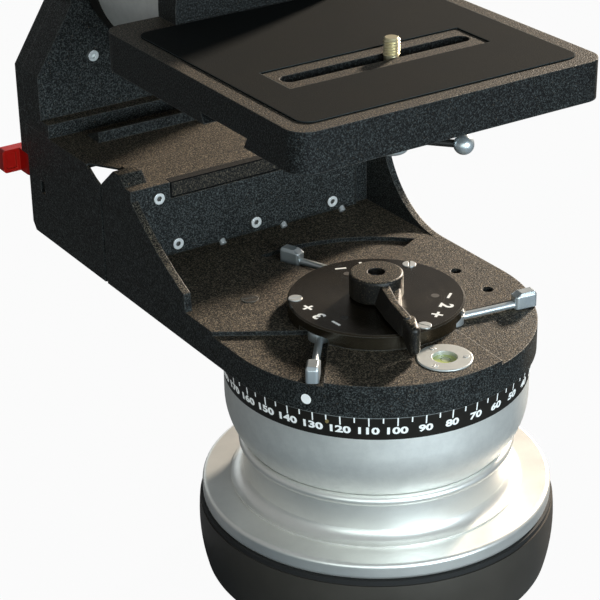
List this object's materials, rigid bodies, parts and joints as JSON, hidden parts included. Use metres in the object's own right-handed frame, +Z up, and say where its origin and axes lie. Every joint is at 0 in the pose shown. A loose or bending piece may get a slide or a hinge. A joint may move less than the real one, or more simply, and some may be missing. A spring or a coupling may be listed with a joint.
{
  "type": "fluid video head",
  "caption": "Fluid pan and tilt head: silver turned base with a degree scale, black cast bracket with drag dials and levers, and a slotted camera platform on a tilt drum.",
  "frame": {"origin": "centre of the base's sole, on the pan axis, at the mouth of the tripod screw's hole", "axes": "+Z up along the pan axis, +Y from the pan axis to the tilt unit, +X along the camera's line of sight; the tilt axis runs along Y"},
  "size_m": [0.211, 0.3955, 0.381],
  "materials": {
    "satin_aluminium": "satin turned aluminium",
    "foot_grey": "turned aluminium, anodised dark grey",
    "black_crinkle": "black crinkle paint on cast aluminium",
    "black_satin": "black anodised, turned",
    "scale_black": "gloss",
    "steel": "satin",
    "chrome": "polished",
    "brass": "satin",
    "gasket_rubber": "matte",
    "mat_rubber": "matte",
    "red_plastic": "gloss",
    "vial_fluid": "gloss"
  },
  "bodies": {
    "base": {"base_foot": "foot_grey", "base_gasket": "gasket_rubber", "base_flange": "satin_aluminium", "neck_ring": "satin_aluminium", "pan_bowl": "satin_aluminium", "scale_ring": "scale_black", "scale_pin": "brass", "pan_cover": "satin_aluminium", "pan_bearing_lower": "steel", "pan_bearing_upper": "steel", "pan_drag_plates": "satin_aluminium"},
    "pan": {"pan_bracket": "black_crinkle", "pan_spindle": "steel", "pan_drag_rotor": "satin_aluminium", "plate_plug": "steel", "wall_screws": "steel", "wall_pins": "steel", "wall_gib": "black_crinkle", "pan_dial": "black_satin", "pan_dial_screws": "steel", "pan_lever_pins": "steel", "pan_lock_stud": "steel", "bubble_ring": "satin_aluminium", "bubble_vial": "vial_fluid", "bubble_screws": "steel", "qc_block": "black_crinkle", "qc_lever_pin": "steel", "tilt_upright": "black_crinkle", "tilt_cover": "black_crinkle", "cover_screws": "steel", "tilt_spindle": "steel", "tilt_drag_rotor": "satin_aluminium", "tilt_dial": "black_satin", "tilt_dial_screws": "steel", "tilt_lever_pins": "steel", "tilt_lock_stud": "steel"},
    "tilt": {"tilt_drum": "satin_aluminium", "tilt_scale_ring": "scale_black", "tilt_bearing_front": "steel", "tilt_bearing_rear": "steel", "tilt_drag_plates": "satin_aluminium", "platform": "black_crinkle", "platform_mat": "mat_rubber", "platform_screws": "steel"},
    "carriage": {"screw_carriage": "satin_aluminium"},
    "screw": {"camera_screw": "steel", "handle_hub": "chrome", "handle_rod": "black_satin", "handle_ball": "chrome"},
    "pan_lock": {"pan_lock_lever": "black_crinkle"},
    "tilt_lock": {"tilt_lock_lever": "black_crinkle"},
    "quick_change_lever": {"qc_lever": "red_plastic"},
    "pan_drag_1": {"pan_lever_1": "chrome"},
    "pan_drag_2": {"pan_lever_2": "chrome"},
    "pan_drag_3": {"pan_lever_3": "chrome"},
    "tilt_drag_1": {"tilt_lever_1": "chrome"},
    "tilt_drag_2": {"tilt_lever_2": "chrome"},
    "tilt_drag_3": {"tilt_lever_3": "chrome"}
  },
  "joints": [
    {"name": "pan_turn", "type": "hinge", "parent": "base", "child": "pan", "pos_m": [0, 0, 0.16], "axis": [0, 0, 1], "continuous": true},
    {"name": "tilt_turn", "type": "hinge", "parent": "pan", "child": "tilt", "pos_m": [0, 0.18, 0.315], "axis": [0, 1, 0], "range_deg": [-60, 60]},
    {"name": "pan_drag_1_swing", "type": "hinge", "parent": "pan", "child": "pan_drag_1", "pos_m": [0.01505, 0.04135, 0.16], "axis": [0, 0, 1], "range_deg": [-83.2, 0]},
    {"name": "pan_drag_2_swing", "type": "hinge", "parent": "pan", "child": "pan_drag_2", "pos_m": [0.02828, -0.03371, 0.16], "axis": [0, 0, 1], "range_deg": [-83.2, 0]},
    {"name": "pan_drag_3_swing", "type": "hinge", "parent": "pan", "child": "pan_drag_3", "pos_m": [-0.04333, -0.00764, 0.16], "axis": [0, 0, 1], "range_deg": [-83.2, 0]},
    {"name": "tilt_drag_1_swing", "type": "hinge", "parent": "pan", "child": "tilt_drag_1", "pos_m": [0.01505, 0.266, 0.27365], "axis": [0, 1, 0], "range_deg": [-83.2, 0]},
    {"name": "tilt_drag_2_swing", "type": "hinge", "parent": "pan", "child": "tilt_drag_2", "pos_m": [0.02828, 0.266, 0.34871], "axis": [0, 1, 0], "range_deg": [-83.2, 0]},
    {"name": "tilt_drag_3_swing", "type": "hinge", "parent": "pan", "child": "tilt_drag_3", "pos_m": [-0.04333, 0.266, 0.32264], "axis": [0, 1, 0], "range_deg": [-83.2, 0]},
    {"name": "pan_lock_turn", "type": "hinge", "parent": "pan", "child": "pan_lock", "pos_m": [0, 0, 0.16], "axis": [0, 0, 1], "range_deg": [-45, 30]},
    {"name": "tilt_lock_turn", "type": "hinge", "parent": "pan", "child": "tilt_lock", "pos_m": [0, 0.266, 0.315], "axis": [0, 1, 0], "range_deg": [-45, 30]},
    {"name": "quick_change_turn", "type": "hinge", "parent": "pan", "child": "quick_change_lever", "pos_m": [-0.086, 0.2625, 0.1762], "axis": [0, 0, 1], "range_deg": [-70, 0]},
    {"name": "screw_slide", "type": "slide", "parent": "tilt", "child": "carriage", "axis": [1, 0, 0], "range_m": [-0.063, 0.044]},
    {"name": "screw_turn", "type": "hinge", "parent": "carriage", "child": "screw", "pos_m": [0.0095, 0, 0.311], "axis": [0, 0, 1], "continuous": true}
  ]
}
